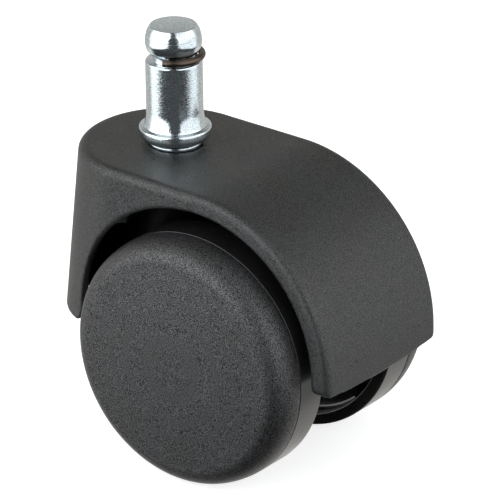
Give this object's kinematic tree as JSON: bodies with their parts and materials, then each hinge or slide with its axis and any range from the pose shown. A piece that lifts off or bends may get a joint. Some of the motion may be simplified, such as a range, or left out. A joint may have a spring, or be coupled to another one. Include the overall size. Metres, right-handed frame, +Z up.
{
  "type": "chair caster wheel",
  "caption": "Hooded black nylon chair caster with a zinc-plated grip-ring stem and two covered wheels.",
  "frame": {"origin": "on the swivel axis, at the foot of the plain 11 mm shank", "axes": "+Z up the stem, +X backwards to where the wheels trail, left is -Y"},
  "size_m": [0.0715, 0.0514, 0.0826],
  "materials": {
    "zinc_plated_steel": "satin",
    "bronzed_spring_wire": "satin",
    "hood_nylon": "matte",
    "wheel_nylon": "satin",
    "cover_nylon": "matte"
  },
  "bodies": {
    "stem": {"stem": "zinc_plated_steel", "stem_snap_ring": "bronzed_spring_wire"},
    "grip_ring": {"grip_ring": "bronzed_spring_wire"},
    "hood": {"hood": "hood_nylon", "stem_bush": "zinc_plated_steel", "thrust_disc": "zinc_plated_steel", "axle": "zinc_plated_steel", "left_thrust_washer": "wheel_nylon", "right_thrust_washer": "wheel_nylon", "left_axle_clip": "zinc_plated_steel", "right_axle_clip": "zinc_plated_steel"},
    "left_wheel": {"left_wheel": "wheel_nylon", "left_wheel_cover": "cover_nylon"},
    "right_wheel": {"right_wheel": "wheel_nylon", "right_wheel_cover": "cover_nylon"}
  },
  "joints": [
    {"name": "swivel", "type": "hinge", "parent": "stem", "child": "hood", "pos_m": [0, 0, -0.016], "axis": [0, 0, 1], "continuous": true},
    {"name": "left_wheel_spin", "type": "hinge", "parent": "hood", "child": "left_wheel", "pos_m": [0.0178, -0.0134, -0.0407], "axis": [0, 1, 0], "continuous": true},
    {"name": "right_wheel_spin", "type": "hinge", "parent": "hood", "child": "right_wheel", "pos_m": [0.0178, 0.0134, -0.0407], "axis": [0, 1, 0], "continuous": true},
    {"name": "grip_ring_turn", "type": "hinge", "parent": "stem", "child": "grip_ring", "pos_m": [0, 0, 0.0107], "axis": [0, 0, 1], "continuous": true}
  ]
}
